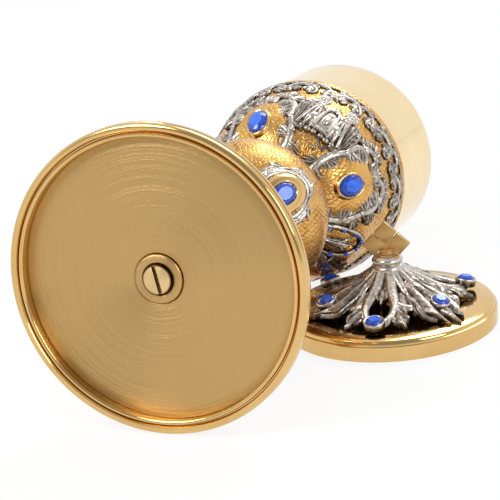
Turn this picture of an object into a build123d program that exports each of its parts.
from build123d import *

import os
from math import asin, atan2, cos, degrees, hypot, radians, sin, sqrt, tan

# A lidded pyx, lying on its side on the table with its lid taken off beside it.
# The vessel's parts are drawn along its own axis, from the foot's flat (s = 0) to the cup's rim,
# and the lid's parts along the lid's own upright axis. Millimetres and degrees.

# Foot
FOOT_R = 55.0
FOOT_H = 44.0
FOOT_WALL = 1.6
FOOT_ROUND = 1.4
RIM_H = 6.0
RIM_W = 4.8
STEP_IN = 4.0
STEP_H = 2.0
DOME_IN = 1.8
COVE_ARC = 13.0
NECK_R = 11.0
NECK_BAND = 1.8
GROOVE_IN = 2.8
RIM_GROOVE = 0.7
FOOT_LEAVES = 6
FOOT_LEAF_REACH = 0.93
FOOT_LEAF_LIFT = 7.0
FOOT_LEAF_ARC = 70.0
LEAF_T = 1.5

# Base plate, boss ring and the long slotted screw that draws the stack together
PLATE_S = 4.0
PLATE_T = 1.5
BOSS_R = 7.8
BOSS_W = 2.2
BOSS_H = 2.3
BOSS_ROUND = 0.66
SCREW_R = 3.0
HEAD_R = 5.2
HEAD_H = 1.9
SLOT_W = 1.4
SLOT_D = 1.1
SLOT_ANGLE = 78.0

# Stem, knop and collar
STEM_H = 26.0
STEM_RING_R = 12.5
STEM_RING_H = 4.0
STEM_WAIST_R = 7.0
STEM_TOP_R = 8.0
KNOP_R = 30.0
KNOP_LOW = 24.0
KNOP_TOP = 14.0
COLLAR_R = 13.0
COLLAR_H = 5.0
COLLAR_SOFT = 0.45
STUD_R = 6.0
STUD_DEPTH = 9.0

# Cup and the calyx that carries it
CUP_R = 39.5
CUP_WALL = 1.0
CUP_SHOW = 43.0
LIP_ROUND = 0.4
CALYX_H = 47.0
CALYX_ARC = 27.0
CALYX_TAPER = 10.0
CALYX_WALL = 1.0
BAND_W = 7.0
BAND_T = 0.9
BAND_SCALLOPS = 24
SCALLOP_R = 2.6

# Ornament on knop and calyx
RELIEF_T = 1.6
BOWL_COUNT = 4
BOWL_ANGLE = -11.0
BOWL_DIP = 40.0
OVAL_LONG = 5.2
OVAL_SHORT = 4.2
CARTOUCHE_LONG = 15.0
CARTOUCHE_SHORT = 11.0
CARTOUCHE_W = 2.6
VOLUTE_R = 2.6
FIGURE_DIP = 18.0
FIGURE_H = 26.0
FIGURE_W = 20.0
FIGURE_T = 2.2
FIGURE_HIGH = 3.6
MEDAL_DIP = 44.0
MEDAL_LONG = 13.0
MEDAL_SHORT = 6.8
MEDAL_RIM = 2.6
MEDAL_T = 0.9
MEDAL_STONES = 10
MEDAL_STONE_R = 0.9
PAIR = 2
KNOP_COUNT = 3
KNOP_ANGLE = -33.0
KNOP_DIP = 45.0
MOUNT_LONG = 9.6
MOUNT_SHORT = 7.8
MOUNT_RISE = 2.6
MOUNT_TAPER = 12.0
FRAME_W = 2.2

# Lid, and how it lies: short of the calyx, with its nearest bud this clear of the bowl's face
LID_SHORT = 3.0
LID_CLEARANCE = 4.1
LID_H = 8.0
LID_WALL = 1.1
LID_STEP = 0.8
LID_STEP_H = 1.6
LID_CLEAR = 0.4
LEAF_COUNT = 3
LEAF_TURN = -24.0
LEAF_REACH = 39.2
LEAF_W = 21.0
FOLIAGE_T = 2.0
FOLIAGE_RISE = 13.2
FOLIAGE_SAG = 2.7
HUB_R = 8.0
LEAF_STONE_R = 25.0
BUD_STONE_R = 31.0
ROUND_R = 3.3
BEZEL_WALL = 0.7
BEZEL_RISE = 2.2
POCKET = 1.6
LID_COLLAR_R = 6.4
LID_COLLAR_H = 6.8
LID_COLLAR_WAIST = 5.0
LID_COLLAR_TOP_R = 5.9
CROSS_NECK_R = 3.1
CROSS_NECK_H = 1.8
CROSS_SPAN = 13.2
CROSS_T = 2.4
CROSS_NOTCH = 2.8
CROSS_SLIT = 1.1
CROSS_TURN = -80.0
SHANK_R = 2.0
NUT_FLATS = 7.0
NUT_H = 2.2

# Clearances: a push fit between turned pieces, and the solder line under applied ornament
FIT = 0.1
SEAT = 0.1
CROWN = 0.62

# Lobes of a leaf: place along it, length and splay, as shares of the leaf and degrees
LEAF_LOBES = ((0.34, 0.62, 52), (0.58, 0.58, 40), (0.78, 0.36, 30))

# Heights along the vessel's axis
S_STEM = FOOT_H
S_KNOP = S_STEM + STEM_H
S_EQUATOR = S_KNOP + KNOP_LOW
S_COLLAR = S_EQUATOR + KNOP_TOP
S_CALYX = S_COLLAR + COLLAR_H
S_BAND = S_CALYX + CALYX_H
S_RIM = S_BAND + CUP_SHOW
S_STEP = RIM_H + STEP_H
STEP_R = FOOT_R - STEP_IN
DOME_R = NECK_R + COVE_ARC
DOME_ARC = STEP_R - DOME_IN - DOME_R
S_DOME = FOOT_H - NECK_BAND - COVE_ARC - DOME_ARC
DOME_LIFT = degrees(asin((S_STEP - S_DOME) / DOME_ARC))
GROOVE_R = FOOT_R - GROOVE_IN
PLATE_TOP = PLATE_S + PLATE_T

# Centre of the calyx's turning arc, in the plane of its profile
CALYX_R = CUP_R + FIT + CALYX_WALL
S_ARC = S_CALYX + CALYX_ARC
ARC_R = (
    CALYX_R
    - CALYX_ARC * cos(radians(CALYX_TAPER))
    - (S_BAND - S_ARC + CALYX_ARC * sin(radians(CALYX_TAPER))) * tan(radians(CALYX_TAPER))
)

# The vessel lies on the round of its foot and the lip of its cup: the tilt follows from both
LID_R = CUP_R + LID_CLEAR + LID_WALL
DROP = (FOOT_R - FOOT_ROUND) - (CUP_R - LIP_ROUND)
SPAN = (S_RIM - LIP_ROUND) - (RIM_H - FOOT_ROUND)
TILT = degrees(atan2(DROP, SPAN) + asin((FOOT_ROUND - LIP_ROUND) / hypot(DROP, SPAN)))
SIN_T = sin(radians(TILT))
COS_T = cos(radians(TILT))
AXIS_Z = (FOOT_R - FOOT_ROUND) * COS_T + (RIM_H - FOOT_ROUND) * SIN_T + FOOT_ROUND

# Foliage of the lid, above the lid's own foot
S_HUB = LID_H + FOLIAGE_RISE
LEAF_RUN = LEAF_REACH - HUB_R
LEAF_FALL = FOLIAGE_RISE - FOLIAGE_T


def foliage_height(radius):
    """Height of the foliage's upper face over the table, at a radius from the lid's axis."""
    share = (radius - HUB_R) / LEAF_RUN
    return S_HUB - LEAF_FALL * share - 4 * FOLIAGE_SAG * share * (1 - share)


# The lid is pushed under the bowl until the stone of its nearest bud comes this near the bowl
LID_GAP_Y = S_CALYX - LID_SHORT
BUD_ANGLE = radians(LEAF_TURN + 540 / LEAF_COUNT)
BUD_Y = LID_GAP_Y + BUD_STONE_R * sin(BUD_ANGLE)
BUD_Z = foliage_height(BUD_STONE_R) + BEZEL_RISE + ROUND_R * (1 - CROWN)
BUD_S = BUD_Y * COS_T + (AXIS_Z - BUD_Z) * SIN_T
BUD_DROP = (AXIS_Z - BUD_Z) * COS_T - BUD_Y * SIN_T
BOWL_R = ARC_R + sqrt(CALYX_ARC**2 - (S_ARC - BUD_S) ** 2)
BUD_X = sqrt((BOWL_R + LID_CLEARANCE) ** 2 - BUD_DROP**2)
LID_GAP_X = BUD_X - BUD_STONE_R * cos(BUD_ANGLE)

# The origin is under the middle of the whole laid-out object
X_MID = (LID_GAP_X + LID_R - FOOT_R) / 2
Y_NEAR = FOOT_ROUND * COS_T - (FOOT_R - FOOT_ROUND) * SIN_T - FOOT_ROUND
Y_FAR = (S_RIM - LIP_ROUND) * COS_T + (CUP_R - LIP_ROUND) * SIN_T + LIP_ROUND
Y_MID = (Y_NEAR + Y_FAR) / 2
VESSEL = Plane(origin=(-X_MID, -Y_MID, AXIS_Z), x_dir=(1, 0, 0), z_dir=(0, COS_T, -SIN_T))
LID = Plane(origin=(LID_GAP_X - X_MID, LID_GAP_Y - Y_MID, 0), x_dir=(1, 0, 0), z_dir=(0, 0, 1))
VESSEL_AXIS = Axis(VESSEL.origin, VESSEL.z_dir)
LID_AXIS = Axis(LID.origin, LID.z_dir)


def profile_plane(base):
    """Plane for a turned profile: x is the radius and y the height along the base's axis."""
    return Plane(base.origin, x_dir=base.x_dir, z_dir=-base.y_dir)


def seat_plane(base, angle, radius, height, dip):
    """Plane on a turned face: z points out of the face, x runs round it and y runs up it."""
    turn = radians(angle)
    radial = base.x_dir * cos(turn) + base.y_dir * sin(turn)
    tangent = base.y_dir * cos(turn) - base.x_dir * sin(turn)
    normal = radial * cos(radians(dip)) - base.z_dir * sin(radians(dip))
    return Plane(base.origin + radial * radius + base.z_dir * height, x_dir=tangent, z_dir=normal)


def ring_of(piece, axis, count):
    """The piece and its copies, evenly spaced round the axis."""
    return [piece.rotate(axis, 360 / count * i) for i in range(count)]


def save(piece, name):
    """Label a finished piece and write its file."""
    piece.part.label = name
    export_step(piece.part, f"parts/{name}.step")


def bowl_outline(inset, top):
    """Half profile of the bowl, `inset` inside the calyx's outer face, closed along the axis."""
    arc = CALYX_ARC - inset
    slope = radians(CALYX_TAPER)
    start = (ARC_R + arc * cos(slope), S_ARC - arc * sin(slope))
    end = (start[0] + (top - start[1]) * tan(slope), top)
    turn = CenterArc((ARC_R, S_ARC), arc, -90, 90 - CALYX_TAPER)
    Polyline(turn @ 1, end, (0, top), (0, S_ARC - arc), turn @ 0)


def knop_outline(grow):
    """Half profile of the knop, `grow` outside its face, closed along the axis."""
    low = CenterArc((KNOP_R - KNOP_LOW, S_EQUATOR), KNOP_LOW + grow, -90, 90)
    high = CenterArc((KNOP_R - KNOP_TOP, S_EQUATOR), KNOP_TOP + grow, 0, 90)
    Polyline(high @ 1, (0, S_COLLAR + grow), (0, S_KNOP - grow), low @ 0)


def bowl_seat(angle, dip):
    """Seat on the calyx's turning arc, `dip` degrees below the arc's widest circle."""
    reach = CALYX_ARC * cos(radians(dip))
    return seat_plane(VESSEL, angle, ARC_R + reach, S_ARC - CALYX_ARC * sin(radians(dip)), dip)


def knop_seat(angle, dip):
    """Seat on the knop's lower arc, `dip` degrees below the equator."""
    reach = KNOP_LOW * cos(radians(dip))
    height = S_EQUATOR - KNOP_LOW * sin(radians(dip))
    return seat_plane(VESSEL, angle, KNOP_R - KNOP_LOW + reach, height, dip)


def bezel(seat, half_long, half_short, rise, sink):
    """Oval stone setting: a plug with a pocket, standing `rise` over its seat."""
    with BuildPart() as setting:
        with BuildSketch(seat.offset(-sink)):
            Ellipse(half_short + BEZEL_WALL + FIT, half_long + BEZEL_WALL + FIT)
        extrude(amount=sink + rise)
        with BuildSketch(seat.offset(rise - POCKET)):
            Ellipse(half_short + FIT, half_long + FIT)
        extrude(amount=POCKET, mode=Mode.SUBTRACT)
    return setting.part


def stone(seat, half_long, half_short, rise):
    """Cut stone in the pocket of such a setting: a straight girdle under a sloping crown."""
    floor = rise - POCKET + SEAT
    with BuildPart() as gem:
        with BuildSketch(seat.offset(floor)):
            Ellipse(half_short, half_long)
        extrude(amount=POCKET)
        with BuildSketch(seat.offset(floor + POCKET)):
            Ellipse(half_short, half_long)
        with BuildSketch(seat.offset(floor + POCKET + half_short * (1 - CROWN))):
            Ellipse(half_short * CROWN, half_long * CROWN)
        loft()
    return gem.part


def leaf_outline(root, reach, width):
    """One lobed leaf along +X, from its root radius to its tip."""
    length = reach - root
    half = width / 2
    with BuildSketch() as leaf:
        with Locations((root + 0.5 * length, 0)):
            Ellipse(0.5 * length, 0.52 * half)
        for side in (1, -1):
            for along, lobe, splay in LEAF_LOBES:
                with Locations((root + along * length, side * 0.42 * half)):
                    Ellipse(lobe * half, 0.25 * half, rotation=side * splay)
    return leaf.sketch


def branch_outline(root, reach, bud):
    """One stem along +X that ends in a round bud, with a pair of side scrolls."""
    with BuildSketch() as branch:
        with Locations(((root + reach) / 2, 0)):
            Rectangle(reach - root, 0.55 * bud)
        with Locations((reach, 0)):
            Circle(bud)
        for side in (1, -1):
            with Locations((root + 0.5 * (reach - root), side * 0.95 * bud)):
                Circle(0.8 * bud)
                Circle(0.36 * bud, mode=Mode.SUBTRACT)
    return branch.sketch


os.makedirs("parts", exist_ok=True)

# Foot: a spun bell with a solid rolled rim, open below for the base plate
with BuildPart() as foot:
    with BuildSketch(profile_plane(VESSEL)):
        with BuildLine():
            dome = CenterArc((DOME_R, S_DOME), DOME_ARC, DOME_LIFT, 90 - DOME_LIFT)
            cove = CenterArc((DOME_R, FOOT_H - NECK_BAND), COVE_ARC, 180, 90)
            Polyline((0, 0), (FOOT_R, 0), (FOOT_R, RIM_H), (STEP_R, RIM_H))
            Polyline((STEP_R, RIM_H), (STEP_R, S_STEP), dome @ 0)
            Polyline(cove @ 0, (NECK_R, FOOT_H), (0, FOOT_H), (0, 0))
        make_face()
    revolve(axis=VESSEL_AXIS)
    fillet(edges().filter_by(GeomType.CIRCLE).group_by(SortBy.RADIUS)[-1], FOOT_ROUND)
    with BuildSketch(profile_plane(VESSEL)):
        with BuildLine():
            lift = degrees(asin((S_STEP - S_DOME) / (DOME_ARC - FOOT_WALL)))
            dome = CenterArc((DOME_R, S_DOME), DOME_ARC - FOOT_WALL, lift, 90 - lift)
            cove = CenterArc((DOME_R, FOOT_H - NECK_BAND), COVE_ARC + FOOT_WALL, 180, 90)
            ledge = (DOME_R + (DOME_ARC - FOOT_WALL) * cos(radians(lift)), PLATE_TOP)
            Polyline((0, PLATE_TOP), ledge, dome @ 0)
            neck = NECK_R - FOOT_WALL
            Polyline(cove @ 0, (neck, FOOT_H - FOOT_WALL), (0, FOOT_H - FOOT_WALL), (0, PLATE_TOP))
        make_face()
    revolve(axis=VESSEL_AXIS, mode=Mode.SUBTRACT)
    with BuildSketch(VESSEL):
        Circle(FOOT_R - RIM_W)
    extrude(amount=PLATE_TOP, mode=Mode.SUBTRACT)
    with BuildSketch(VESSEL):
        Circle(GROOVE_R + RIM_GROOVE / 2)
        Circle(GROOVE_R - RIM_GROOVE / 2, mode=Mode.SUBTRACT)
    extrude(amount=RIM_GROOVE, mode=Mode.SUBTRACT)
    with BuildSketch(VESSEL.offset(FOOT_H)):
        Circle(SCREW_R + FIT)
    extrude(amount=-2 * FOOT_WALL, mode=Mode.SUBTRACT)
save(foot, "foot")

# Leafwork laid on the foot's dome
with BuildPart() as foot_foliage:
    with BuildSketch(profile_plane(VESSEL)):
        with BuildLine():
            start = DOME_LIFT + FOOT_LEAF_LIFT
            low = CenterArc((DOME_R, S_DOME), DOME_ARC + SEAT, start, FOOT_LEAF_ARC)
            high = CenterArc((DOME_R, S_DOME), DOME_ARC + SEAT + LEAF_T, start, FOOT_LEAF_ARC)
            Line(low @ 0, high @ 0)
            Line(low @ 1, high @ 1)
        make_face()
    revolve(axis=VESSEL_AXIS)
    with BuildSketch(VESSEL):
        with PolarLocations(0, FOOT_LEAVES):
            add(leaf_outline(DOME_R + LEAF_T, DOME_R + DOME_ARC * FOOT_LEAF_REACH, LEAF_W))
        Circle(DOME_R + 4 * LEAF_T)
        Circle(DOME_R + LEAF_T, mode=Mode.SUBTRACT)
    extrude(amount=FOOT_H, mode=Mode.INTERSECT)
save(foot_foliage, "foot_foliage")

# Base plate, turned flat, closing the foot
with BuildPart() as base_plate:
    with BuildSketch(VESSEL.offset(PLATE_S)):
        Circle(FOOT_R - RIM_W - FIT)
        Circle(SCREW_R + FIT, mode=Mode.SUBTRACT)
    extrude(amount=PLATE_T)
save(base_plate, "base_plate")

# Raised ring round the screw head
with BuildPart() as boss_ring:
    with BuildSketch(VESSEL.offset(PLATE_S)):
        Circle(BOSS_R)
        Circle(BOSS_R - BOSS_W, mode=Mode.SUBTRACT)
    extrude(amount=-BOSS_H)
    fillet(faces().sort_by(VESSEL_AXIS)[0].edges(), BOSS_ROUND)
save(boss_ring, "boss_ring")

# Long slotted screw through the whole stack
S_STUD = S_COLLAR - STUD_DEPTH
STUD_TOP = S_CALYX + CALYX_WALL + FIT
with BuildPart() as tie_screw:
    with BuildSketch(VESSEL.offset(PLATE_S)):
        Circle(HEAD_R)
    extrude(amount=-HEAD_H)
    with BuildSketch(VESSEL.offset(PLATE_S)):
        Circle(SCREW_R)
    extrude(amount=STUD_TOP - CUP_WALL - SCREW_R - PLATE_S)
    with BuildSketch(VESSEL.offset(PLATE_S - HEAD_H)):
        Rectangle(3 * HEAD_R, SLOT_W, rotation=SLOT_ANGLE)
    extrude(amount=SLOT_D, mode=Mode.SUBTRACT)
save(tie_screw, "tie_screw")

# Lower stem: a turned baluster with a ring below its waist
with BuildPart() as stem:
    with BuildSketch(profile_plane(VESSEL)):
        with BuildLine():
            base_top = S_STEM + STEM_RING_H
            ring_edge = (STEM_RING_R, S_STEM + STEM_RING_H / 2)
            Polyline((SCREW_R + FIT, S_STEM), (NECK_R, S_STEM), ring_edge, (NECK_R, base_top))
            waist = (STEM_WAIST_R, (base_top + S_KNOP) / 2)
            ThreePointArc((NECK_R, base_top), waist, (STEM_TOP_R, S_KNOP))
            Polyline((STEM_TOP_R, S_KNOP), (SCREW_R + FIT, S_KNOP), (SCREW_R + FIT, S_STEM))
        make_face()
    revolve(axis=VESSEL_AXIS)
save(stem, "stem")

# Knop
with BuildPart() as knop:
    with BuildSketch(profile_plane(VESSEL)):
        with BuildLine():
            knop_outline(0)
        make_face()
    revolve(axis=VESSEL_AXIS)
    with BuildSketch(VESSEL.offset(S_KNOP)):
        Circle(SCREW_R + FIT)
    extrude(amount=S_COLLAR - S_KNOP, mode=Mode.SUBTRACT)
    with BuildSketch(VESSEL.offset(S_COLLAR)):
        Circle(STUD_R + FIT)
    extrude(amount=-STUD_DEPTH, mode=Mode.SUBTRACT)
save(knop, "knop")

# Oval gold mounts low on the knop, each in a wire frame and holding a stone
mount_seat = knop_seat(KNOP_ANGLE, KNOP_DIP)
with BuildPart() as mount_one:
    with BuildSketch(mount_seat.offset(-MOUNT_LONG / 2)):
        Ellipse(MOUNT_SHORT, MOUNT_LONG)
    extrude(amount=MOUNT_LONG / 2 + MOUNT_RISE, taper=MOUNT_TAPER)
    with BuildSketch(mount_seat.offset(MOUNT_RISE - POCKET)):
        Ellipse(OVAL_SHORT + FIT, OVAL_LONG + FIT)
    extrude(amount=POCKET, mode=Mode.SUBTRACT)
    with BuildSketch(profile_plane(VESSEL)):
        with BuildLine():
            knop_outline(SEAT)
        make_face()
    revolve(axis=VESSEL_AXIS, mode=Mode.SUBTRACT)
with BuildPart() as knop_mounts:
    add(ring_of(mount_one.part, VESSEL_AXIS, KNOP_COUNT))
save(knop_mounts, "knop_mounts")

with BuildPart() as frame_one:
    with BuildSketch(profile_plane(VESSEL)):
        with BuildLine():
            knop_outline(SEAT + RELIEF_T)
        make_face()
        with BuildLine():
            knop_outline(SEAT)
        make_face(mode=Mode.SUBTRACT)
    revolve(axis=VESSEL_AXIS)
    with BuildSketch(mount_seat):
        Ellipse(MOUNT_SHORT + FRAME_W, MOUNT_LONG + FRAME_W)
        with Locations((0, MOUNT_LONG + FRAME_W)):
            Circle(1.2 * FRAME_W)
        Ellipse(MOUNT_SHORT, MOUNT_LONG, mode=Mode.SUBTRACT)
    extrude(amount=MOUNT_LONG / 2, both=True, mode=Mode.INTERSECT)
with BuildPart() as knop_frames:
    add(ring_of(frame_one.part, VESSEL_AXIS, KNOP_COUNT))
save(knop_frames, "knop_frames")

knop_stone = stone(mount_seat, OVAL_LONG, OVAL_SHORT, MOUNT_RISE)
with BuildPart() as knop_stones:
    add(ring_of(knop_stone, VESSEL_AXIS, KNOP_COUNT))
save(knop_stones, "knop_stones")

# Collar between knop and calyx, and the stud that the screw pulls on
with BuildPart() as collar:
    with BuildSketch(VESSEL.offset(S_COLLAR)):
        Circle(COLLAR_R)
        Circle(STUD_R + FIT, mode=Mode.SUBTRACT)
    extrude(amount=COLLAR_H)
    fillet(edges().filter_by(GeomType.CIRCLE).group_by(SortBy.RADIUS)[-1], COLLAR_SOFT * COLLAR_H)
save(collar, "collar")

with BuildPart() as cup_stud:
    with BuildSketch(VESSEL.offset(STUD_TOP)):
        Circle(STUD_R)
    extrude(amount=S_STUD - STUD_TOP)
    with BuildSketch(VESSEL.offset(S_STUD)):
        Circle(SCREW_R + FIT)
    extrude(amount=STUD_TOP - S_STUD - CUP_WALL, mode=Mode.SUBTRACT)
save(cup_stud, "cup_stud")

# Calyx: the gold bowl that holds the cup
with BuildPart() as calyx:
    with BuildSketch(profile_plane(VESSEL)):
        with BuildLine():
            bowl_outline(0, S_BAND)
        make_face()
        with BuildLine():
            bowl_outline(CALYX_WALL, S_BAND)
        make_face(mode=Mode.SUBTRACT)
    revolve(axis=VESSEL_AXIS)
    with BuildSketch(VESSEL.offset(S_CALYX)):
        Circle(STUD_R + FIT)
    extrude(amount=CALYX_WALL, mode=Mode.SUBTRACT)
save(calyx, "calyx")

# Cup: a thin bowl in the calyx, with a straight polished wall above it
with BuildPart() as cup:
    for skin, mode in ((CALYX_WALL + FIT, Mode.ADD), (CALYX_WALL + FIT + CUP_WALL, Mode.SUBTRACT)):
        with BuildSketch(profile_plane(VESSEL)):
            with BuildLine():
                bowl_outline(skin, S_BAND)
            make_face()
        revolve(axis=VESSEL_AXIS, mode=mode)
    with BuildSketch(VESSEL.offset(S_BAND)):
        Circle(CUP_R)
        Circle(CUP_R - CUP_WALL, mode=Mode.SUBTRACT)
    extrude(amount=CUP_SHOW)
    fillet(faces().sort_by(VESSEL_AXIS)[-1].edges(), LIP_ROUND)
save(cup, "cup")


def on_calyx(seat, outline, thickness):
    """Relief of one outline, laid on the calyx's face at the seat."""
    with BuildPart() as relief:
        with BuildSketch(profile_plane(VESSEL)):
            with BuildLine():
                bowl_outline(-SEAT - thickness, S_BAND)
            make_face()
            with BuildLine():
                bowl_outline(-SEAT, S_BAND)
            make_face(mode=Mode.SUBTRACT)
        revolve(axis=VESSEL_AXIS)
        with BuildSketch(seat.offset(-0.6 * CALYX_ARC)):
            add(outline)
        extrude(amount=0.9 * CALYX_ARC, mode=Mode.INTERSECT)
    return relief.part


def oval_ring(half_short, half_long, width):
    """Flat oval ring, long along +Y."""
    with BuildSketch() as ring:
        Ellipse(half_short, half_long)
        Ellipse(half_short - width, half_long - width, mode=Mode.SUBTRACT)
    return ring.sketch


# Open baroque frame: an oval band with a pierced volute at each corner
with BuildSketch() as cartouche_outline:
    add(oval_ring(CARTOUCHE_SHORT, CARTOUCHE_LONG, CARTOUCHE_W))
    with GridLocations(1.48 * CARTOUCHE_SHORT, 1.48 * CARTOUCHE_LONG, 2, 2):
        Circle(VOLUTE_R)
        Circle(0.4 * VOLUTE_R, mode=Mode.SUBTRACT)

# Winged figure in a long robe, standing on a scroll
with BuildSketch() as figure_outline:
    half = FIGURE_W / 2
    hem_y = -0.3 * FIGURE_H
    with BuildLine():
        hem = ThreePointArc((-0.5 * half, hem_y), (0, 1.2 * hem_y), (0.5 * half, hem_y))
        right = ThreePointArc(hem @ 1, (0.26 * half, 0), (0.36 * half, 0.2 * FIGURE_H))
        top = ThreePointArc(right @ 1, (0, 0.26 * FIGURE_H), (-0.36 * half, 0.2 * FIGURE_H))
        ThreePointArc(top @ 1, (-0.26 * half, 0), hem @ 0)
    make_face()
    with Locations((0, 0.33 * FIGURE_H)):
        Circle(0.14 * FIGURE_H)
    for side in (1, -1):
        with Locations((side * 0.56 * half, 0.1 * FIGURE_H)):
            Ellipse(0.2 * FIGURE_H, 0.22 * half, rotation=side * 48)
        with Locations((side * 0.5 * half, -0.32 * FIGURE_H)):
            Circle(0.11 * FIGURE_H)

# The figure's head, and the open book held before it, which stand out furthest
with BuildSketch() as figure_front:
    with Locations((0, 0.33 * FIGURE_H)):
        Circle(0.12 * FIGURE_H)
    with Locations((0, 0.08 * FIGURE_H)):
        Rectangle(0.5 * half, 0.16 * FIGURE_H)

# Long oval field of the medallion
with BuildSketch() as medal_outline:
    Ellipse(MEDAL_SHORT - MEDAL_RIM - SEAT, MEDAL_LONG - MEDAL_RIM - SEAT)

# Stone settings round the calyx, each in its open frame
stone_seat = bowl_seat(BOWL_ANGLE, BOWL_DIP)
cartouche = on_calyx(stone_seat, cartouche_outline.sketch, RELIEF_T)
with BuildPart() as cartouches:
    add(ring_of(cartouche, VESSEL_AXIS, BOWL_COUNT))
save(cartouches, "cartouches")

bowl_setting = bezel(stone_seat, OVAL_LONG, OVAL_SHORT, BEZEL_RISE, OVAL_LONG)
with BuildPart() as bezel_one:
    add(bowl_setting)
    with BuildSketch(profile_plane(VESSEL)):
        with BuildLine():
            bowl_outline(-SEAT, S_BAND)
        make_face()
    revolve(axis=VESSEL_AXIS, mode=Mode.SUBTRACT)
with BuildPart() as bowl_bezels:
    add(ring_of(bezel_one.part, VESSEL_AXIS, BOWL_COUNT))
save(bowl_bezels, "bowl_bezels")

bowl_stone = stone(stone_seat, OVAL_LONG, OVAL_SHORT, BEZEL_RISE)
with BuildPart() as bowl_stones:
    add(ring_of(bowl_stone, VESSEL_AXIS, BOWL_COUNT))
save(bowl_stones, "bowl_stones")

# Between the stones: a winged figure on two sides and an oval medallion on the other two
FIELD = 180 / BOWL_COUNT
figure_seat = bowl_seat(BOWL_ANGLE - FIELD, FIGURE_DIP)
figure_body = on_calyx(figure_seat, figure_outline.sketch, FIGURE_T)
figure_relief = on_calyx(figure_seat, figure_front.sketch, FIGURE_HIGH)
with BuildPart() as figure:
    add(figure_body)
    add(figure_relief)
with BuildPart() as figures:
    add(ring_of(figure.part, VESSEL_AXIS, PAIR))
save(figures, "figures")

MEDAL_ANGLE = BOWL_ANGLE + FIELD
medal_seat = bowl_seat(MEDAL_ANGLE, MEDAL_DIP)
medallion = on_calyx(medal_seat, medal_outline.sketch, MEDAL_T)
with BuildPart() as medallions:
    add(ring_of(medallion, VESSEL_AXIS, PAIR))
save(medallions, "medallions")

gem_spots = []
for i in range(MEDAL_STONES):
    turn = radians(360 / MEDAL_STONES * (i + 0.5))
    across = (MEDAL_SHORT - MEDAL_RIM / 2) * sin(turn)
    along = (MEDAL_LONG - MEDAL_RIM / 2) * cos(turn)
    dip = MEDAL_DIP - degrees(along / CALYX_ARC)
    swing = degrees(across / (ARC_R + CALYX_ARC * cos(radians(dip))))
    gem_spots.append(bowl_seat(MEDAL_ANGLE + swing, dip))
medal_rim = on_calyx(medal_seat, oval_ring(MEDAL_SHORT, MEDAL_LONG, MEDAL_RIM), RELIEF_T)
with BuildPart() as rim_one:
    add(medal_rim)
    with BuildSketch(*[spot.offset(SEAT) for spot in gem_spots]):
        Circle(MEDAL_STONE_R + FIT)
    extrude(amount=2 * RELIEF_T, mode=Mode.SUBTRACT)
with BuildPart() as medal_rims:
    add(ring_of(rim_one.part, VESSEL_AXIS, PAIR))
save(medal_rims, "medal_rims")

with BuildPart() as gems_one:
    with BuildSketch(*[spot.offset(2 * SEAT) for spot in gem_spots]):
        Circle(MEDAL_STONE_R)
    extrude(amount=RELIEF_T + MEDAL_STONE_R / 2)
with BuildPart() as medal_stones:
    add(ring_of(gems_one.part, VESSEL_AXIS, PAIR))
save(medal_stones, "medal_stones")

# Scroll band along the calyx's top edge, its lower edge scalloped
with BuildPart() as scroll_band:
    with BuildSketch(profile_plane(VESSEL)):
        with BuildLine():
            bowl_outline(-SEAT - BAND_T, S_BAND)
        make_face()
        with BuildLine():
            bowl_outline(-SEAT, S_BAND)
        make_face(mode=Mode.SUBTRACT)
        with Locations((0, S_CALYX)):
            Rectangle(4 * CUP_R, 2 * (CALYX_H - BAND_W), mode=Mode.SUBTRACT)
    revolve(axis=VESSEL_AXIS)
    turns = [360 / BAND_SCALLOPS * i for i in range(BAND_SCALLOPS)]
    bites = [seat_plane(VESSEL, turn, 0, S_BAND - BAND_W, 0) for turn in turns]
    with BuildSketch(*bites):
        Circle(SCALLOP_R)
    extrude(amount=2 * CUP_R, mode=Mode.SUBTRACT)
save(scroll_band, "scroll_band")

# Lid: a flat polished disc with a skirt that slips over the cup's lip
with BuildPart() as lid:
    with BuildSketch(LID):
        Circle(LID_R)
    extrude(amount=LID_H - LID_STEP_H)
    with BuildSketch(LID.offset(LID_H - LID_STEP_H)):
        Circle(LID_R - LID_STEP)
    extrude(amount=LID_STEP_H)
    fillet(faces().sort_by(LID_AXIS)[-1].edges(), LID_STEP)
    with BuildSketch(LID):
        Circle(LID_R - LID_WALL)
    extrude(amount=LID_H - LID_WALL - LID_STEP, mode=Mode.SUBTRACT)
    with BuildSketch(LID):
        Circle(SHANK_R + FIT)
    extrude(amount=LID_H, mode=Mode.SUBTRACT)
save(lid, "lid")

# Openwork foliage: a low hollow cone, pierced to lobed leaves and budded stems
def foliage_outline(grow):
    """Half profile under the foliage's upper face, `grow` above it, closed along the axis."""
    start = (HUB_R, S_HUB + grow)
    middle = (HUB_R + LEAF_RUN / 2, S_HUB + grow - LEAF_FALL / 2 - FOLIAGE_SAG)
    crest = ThreePointArc(start, middle, (LEAF_REACH, S_HUB + grow - LEAF_FALL))
    Polyline(crest @ 1, (LEAF_REACH, LID_H), (0, LID_H), (0, S_HUB + grow), crest @ 0)


def foliage_seat(angle, radius):
    """Seat on the foliage's upper face, square to its slope."""
    share = (radius - HUB_R) / LEAF_RUN
    slope = atan2(LEAF_FALL + 4 * FOLIAGE_SAG * (1 - 2 * share), LEAF_RUN)
    return seat_plane(LID, angle, radius, foliage_height(radius), degrees(slope) - 90)


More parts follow.
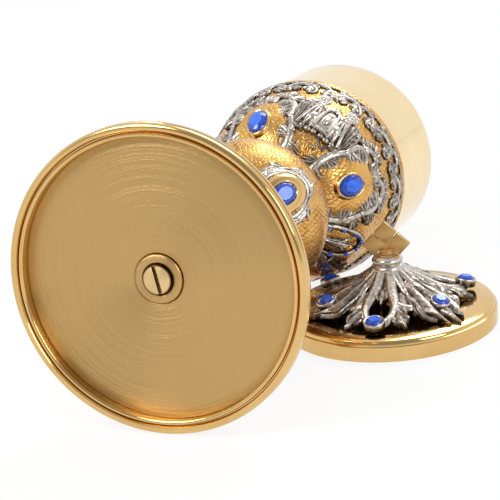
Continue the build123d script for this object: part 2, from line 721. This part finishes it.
with BuildPart() as lid_foliage:
    with BuildSketch(profile_plane(LID)):
        with BuildLine():
            foliage_outline(0)
        make_face()
    revolve(axis=LID_AXIS)
    with BuildSketch(profile_plane(LID)):
        with BuildLine():
            foliage_outline(-FOLIAGE_T)
        make_face()
    revolve(axis=LID_AXIS, mode=Mode.SUBTRACT)
    with BuildSketch(LID):
        with PolarLocations(0, LEAF_COUNT, LEAF_TURN):
            add(leaf_outline(0.5 * HUB_R, LEAF_REACH, LEAF_W))
        with PolarLocations(0, LEAF_COUNT, LEAF_TURN + 180 / LEAF_COUNT):
            add(branch_outline(0.5 * HUB_R, BUD_STONE_R, ROUND_R + BEZEL_WALL + FIT))
        Circle(HUB_R)
        Circle(SHANK_R + FIT, mode=Mode.SUBTRACT)
    extrude(amount=S_HUB, mode=Mode.INTERSECT)
save(lid_foliage, "lid_foliage")

# Round settings: one on each leaf and one on each bud
lid_seats = []
for i in range(LEAF_COUNT):
    leaf_turn = LEAF_TURN + 360 / LEAF_COUNT * i
    lid_seats.append(foliage_seat(leaf_turn, LEAF_STONE_R))
    lid_seats.append(foliage_seat(leaf_turn + 180 / LEAF_COUNT, BUD_STONE_R))
lid_settings = [bezel(seat, ROUND_R, ROUND_R, BEZEL_RISE, 0.4 * ROUND_R) for seat in lid_seats]
with BuildPart() as lid_bezels:
    add(lid_settings)
    with BuildSketch(profile_plane(LID)):
        with BuildLine():
            foliage_outline(SEAT)
        make_face()
    revolve(axis=LID_AXIS, mode=Mode.SUBTRACT)
save(lid_bezels, "lid_bezels")

lid_gems = [stone(seat, ROUND_R, ROUND_R, BEZEL_RISE) for seat in lid_seats]
with BuildPart() as lid_stones:
    add(lid_gems)
save(lid_stones, "lid_stones")

# Turned collar on the foliage's hub
S_CROSS = S_HUB + LID_COLLAR_H
with BuildPart() as lid_collar:
    with BuildSketch(profile_plane(LID)):
        with BuildLine():
            bore = SHANK_R + FIT
            foot_of = (LID_COLLAR_WAIST, S_HUB)
            waist = (LID_COLLAR_WAIST, S_HUB + 0.6 * LID_COLLAR_H)
            head_of = (LID_COLLAR_WAIST, S_CROSS)
            ThreePointArc(foot_of, (LID_COLLAR_R, S_HUB + 0.3 * LID_COLLAR_H), waist)
            ThreePointArc(waist, (LID_COLLAR_TOP_R, S_HUB + 0.8 * LID_COLLAR_H), head_of)
            Polyline(head_of, (bore, S_CROSS), (bore, S_HUB), foot_of)
        make_face()
    revolve(axis=LID_AXIS)
save(lid_collar, "lid_collar")

# Cross: a square plate standing on its corner, slit from the middle of each side, on its shank
S_NUT = LID_H - LID_WALL - LID_STEP
CROSS_SIDE = CROSS_SPAN / sqrt(2)
CROSS_MID = S_CROSS + CROSS_NECK_H + CROSS_SPAN / 2 - CROSS_T / 2
cross_plane = seat_plane(LID, CROSS_TURN, 0, CROSS_MID, 0)
with BuildPart() as cross:
    with BuildSketch(LID.offset(S_CROSS)):
        Circle(CROSS_NECK_R)
    extrude(amount=CROSS_NECK_H)
    with BuildSketch(LID.offset(S_CROSS)):
        Circle(SHANK_R)
    extrude(amount=S_NUT - NUT_H - S_CROSS)
    with BuildSketch(cross_plane):
        Rectangle(CROSS_SIDE, CROSS_SIDE, rotation=45)
        with PolarLocations(CROSS_SIDE / 2, 4, 45):
            Rectangle(2 * CROSS_NOTCH, CROSS_SLIT, mode=Mode.SUBTRACT)
    extrude(amount=CROSS_T / 2, both=True)
save(cross, "cross")

# Thin nut under the lid's disc
with BuildPart() as lid_nut:
    with BuildSketch(LID.offset(S_NUT)):
        RegularPolygon(NUT_FLATS / 2, 6, major_radius=False)
        Circle(SHANK_R + FIT, mode=Mode.SUBTRACT)
    extrude(amount=-NUT_H)
save(lid_nut, "lid_nut")
